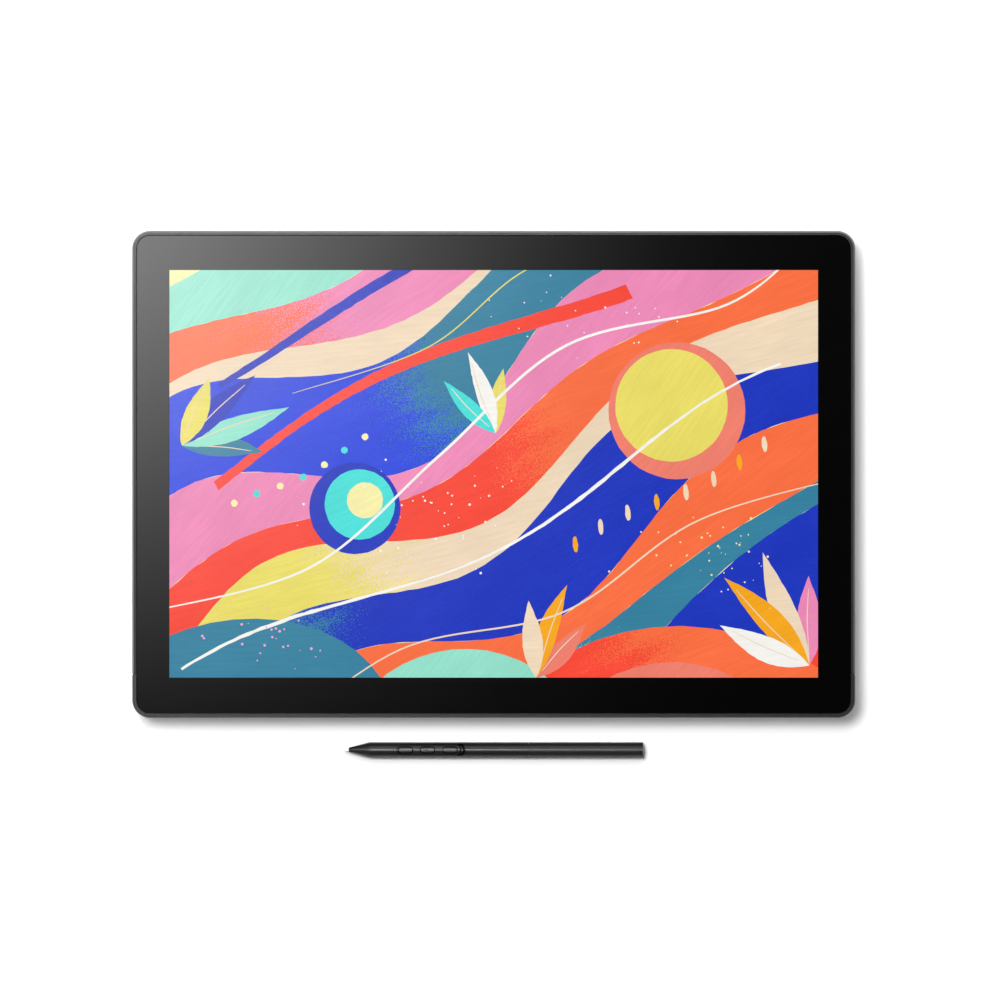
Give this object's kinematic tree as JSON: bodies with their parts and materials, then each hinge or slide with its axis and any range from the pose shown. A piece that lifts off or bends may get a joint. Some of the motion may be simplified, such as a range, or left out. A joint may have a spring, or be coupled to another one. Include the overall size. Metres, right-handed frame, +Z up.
{
  "type": "pen display tablet",
  "caption": "Slim flat pen display with fold-out legs on its back, and a round pen with side keys lying in front of it.",
  "frame": {"origin": "on the table, under the middle of the whole set of tablet and pen", "axes": "+X to the viewer's right along the long side, +Y away from the viewer, +Z up out of the screen"},
  "size_m": [0.383, 0.2796, 0.021],
  "materials": {
    "screen_glass": "etched, low glare",
    "black_tape": "matt adhesive tape",
    "clear_film": "clear film",
    "display_panel": "dark panel glass",
    "clear_acrylic": "clear acrylic",
    "sheet_aluminium": "brushed sheet",
    "circuit_board": "solder mask",
    "led_package": "white package",
    "frame_metal": "black, fine bead blast",
    "trim_plastic": "matt moulded plastic",
    "cover_plastic": "fine moulded texture",
    "brass_insert": "knurled brass",
    "black_screw": "black oxide",
    "foot_rubber": "matt rubber",
    "steel_screw": "zinc plated",
    "chip_black": "moulded package",
    "thermal_pad": "soft pad",
    "socket_steel": "satin steel",
    "socket_plastic": "black insulator",
    "button_plastic": "satin plastic",
    "ribbon_film": "amber film",
    "leg_metal": "black, matt",
    "nib_plastic": "pale felt-like plastic",
    "pen_plastic": "satin plastic",
    "pen_soft": "soft-touch coating",
    "key_plastic": "satin plastic",
    "coil_copper": "enamelled wire on ferrite"
  },
  "bodies": {
    "tablet": {"cover_glass": "screen_glass", "glass_tape": "black_tape", "bonding_film": "clear_film", "display_cell": "display_panel", "optical_films": "clear_film", "light_guide": "clear_acrylic", "backlight_tray": "sheet_aluminium", "led_strip": "circuit_board", "leds": "led_package", "sensor_board": "circuit_board", "shield_plate": "sheet_aluminium", "front_frame": "frame_metal", "bottom_trim": "trim_plastic", "rear_cover": "cover_plastic", "mounting_inserts": "brass_insert", "cover_screws": "black_screw", "rubber_feet": "foot_rubber", "chassis": "sheet_aluminium", "main_board": "circuit_board", "controller_board": "circuit_board", "board_screws": "steel_screw", "main_chip": "chip_black", "small_chips": "chip_black", "thermal_pad": "thermal_pad", "heat_spreader": "sheet_aluminium", "usb_shells": "socket_steel", "hdmi_shell": "socket_steel", "socket_tongues": "socket_plastic", "power_switch": "socket_plastic", "light_pipe": "clear_acrylic", "display_ribbon": "ribbon_film", "sensor_ribbon": "ribbon_film", "link_ribbon": "ribbon_film", "ribbon_plugs": "socket_plastic", "hinge_brackets": "socket_steel", "bracket_screws": "steel_screw", "hinge_pins": "socket_steel", "friction_washers": "black_tape"},
    "left_leg": {"left_leg": "leg_metal", "left_leg_pad": "foot_rubber"},
    "right_leg": {"right_leg": "leg_metal", "right_leg_pad": "foot_rubber"},
    "power_button": {"power_button": "button_plastic"},
    "pen": {"nose_cone": "pen_plastic", "front_barrel": "pen_soft", "switch_plate": "pen_soft", "pen_coil": "coil_copper", "pressure_sensor": "sheet_aluminium", "pen_carrier": "socket_plastic", "pen_board": "circuit_board", "key_switches": "socket_steel"},
    "nib": {"nib": "nib_plastic"},
    "front_key": {"front_key": "key_plastic"},
    "middle_key": {"middle_key": "key_plastic"},
    "rear_key": {"rear_key": "key_plastic"},
    "rear_barrel": {"rear_barrel": "pen_soft", "end_cap": "pen_plastic", "balance_weight": "brass_insert", "nib_holder": "socket_plastic", "spare_nibs": "nib_plastic"}
  },
  "joints": [
    {"name": "left_leg_hinge", "type": "hinge", "parent": "tablet", "child": "left_leg", "pos_m": [-0.11796, 0.09575, 0.0045], "axis": [1, 0, 0], "range_deg": [0, 90]},
    {"name": "right_leg_hinge", "type": "hinge", "parent": "tablet", "child": "right_leg", "pos_m": [0.11796, 0.09575, 0.0045], "axis": [1, 0, 0], "range_deg": [0, 90]},
    {"name": "power_button_press", "type": "slide", "parent": "tablet", "child": "power_button", "axis": [0, -1, 0], "range_m": [0, 0.0004], "stiffness_N_per_m": 1500},
    {"name": "pen_lift", "type": "slide", "parent": "tablet", "child": "pen", "axis": [0, 0, 1], "range_m": [0, 0.15]},
    {"name": "nib_press", "type": "slide", "parent": "pen", "child": "nib", "axis": [1, 0, 0], "range_m": [0, 0.0006], "stiffness_N_per_m": 1200},
    {"name": "front_key_press", "type": "slide", "parent": "pen", "child": "front_key", "axis": [0, 0, -1], "range_m": [0, 0.00035], "stiffness_N_per_m": 1500},
    {"name": "middle_key_press", "type": "slide", "parent": "pen", "child": "middle_key", "axis": [0, 0, -1], "range_m": [0, 0.00035], "stiffness_N_per_m": 1500},
    {"name": "rear_key_press", "type": "slide", "parent": "pen", "child": "rear_key", "axis": [0, 0, -1], "range_m": [0, 0.00035], "stiffness_N_per_m": 1500},
    {"name": "rear_barrel_pull", "type": "slide", "parent": "pen", "child": "rear_barrel", "axis": [1, 0, 0], "range_m": [0, 0.065]}
  ]
}
